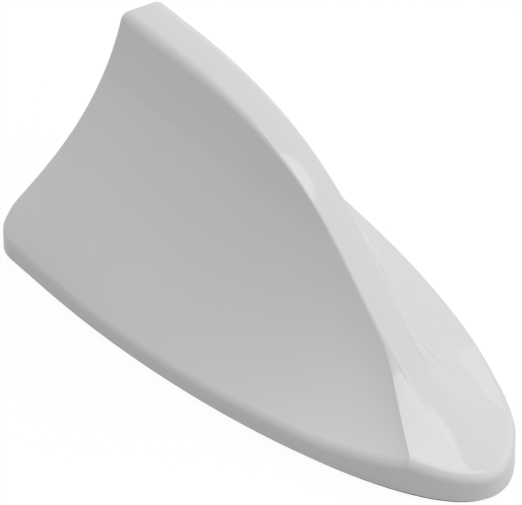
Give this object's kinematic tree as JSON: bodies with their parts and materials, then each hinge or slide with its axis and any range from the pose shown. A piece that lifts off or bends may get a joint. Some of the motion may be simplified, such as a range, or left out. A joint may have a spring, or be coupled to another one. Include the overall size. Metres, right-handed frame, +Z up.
{
  "type": "roof aerial",
  "caption": "Fin-shaped car roof aerial: a glossy moulded cover on a sealed base plate, with a loading coil, top-load saddle and amplifier board inside.",
  "frame": {"origin": "on the roof surface, under the middle of the cover", "axes": "+X towards the nose along the length, +Y to the left, +Z up from the roof"},
  "size_m": [0.15, 0.0746, 0.0554],
  "materials": {
    "cover": "moulded white plastic with a clear gloss",
    "seal": "black moulded rubber",
    "pad": "dark grey foam tape",
    "plate": "black moulded plastic, fine matt grain",
    "screw": "zinc-plated steel",
    "board": "glass-epoxy board with green solder resist",
    "tin": "tinned sheet steel",
    "chip": "black moulded epoxy",
    "chip_part": "fired tan ceramic",
    "can": "drawn aluminium",
    "ferrite": "sintered ferrite with a varnished winding",
    "brass": "turned brass",
    "insulator": "white fluoroplastic",
    "former": "natural moulded nylon",
    "wire": "enamelled copper strip"
  },
  "bodies": {
    "root": {"fin_cover": "cover", "rim_seal": "seal", "adhesive_pad": "pad", "base_plate": "plate", "cover_screws": "screw", "amplifier_board": "board", "board_screws": "screw", "shield_can": "tin", "amplifier_chip": "chip", "chip_parts": "chip_part", "filter_capacitor": "can", "choke_coils": "ferrite", "coax_socket": "brass", "socket_insulator": "insulator", "socket_pin": "brass", "cable_grommet": "seal", "coil_former": "former", "loading_coil": "wire", "coil_terminals": "brass", "top_load_plate": "tin"}
  },
  "joints": []
}
